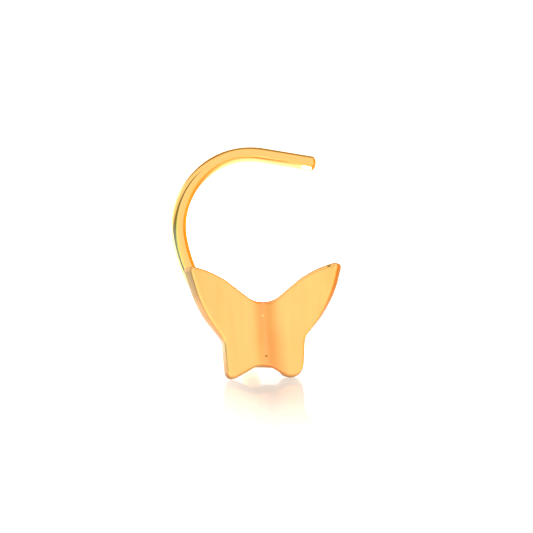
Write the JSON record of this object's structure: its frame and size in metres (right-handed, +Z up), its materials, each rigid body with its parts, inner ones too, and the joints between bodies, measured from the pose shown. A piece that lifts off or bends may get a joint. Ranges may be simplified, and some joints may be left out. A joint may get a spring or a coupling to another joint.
{
  "type": "nose stud",
  "caption": "Yellow gold nose stud: a creased satin butterfly soldered to a wire post that bends up behind it into a round hook.",
  "frame": {"origin": "on the floor, under the middle of the bounding box of the stud as it stands by itself", "axes": "+Z up, the butterfly faces -Y and leans back, +X towards the butterfly's left wing as its wearer would have it, which is the viewer's right"},
  "size_m": [0.0066, 0.0098, 0.0078],
  "materials": {
    "gold": "yellow gold, satin on the butterfly's front and polished on the wire"
  },
  "bodies": {
    "root": {"butterfly_nose_stud": "gold"}
  },
  "joints": []
}
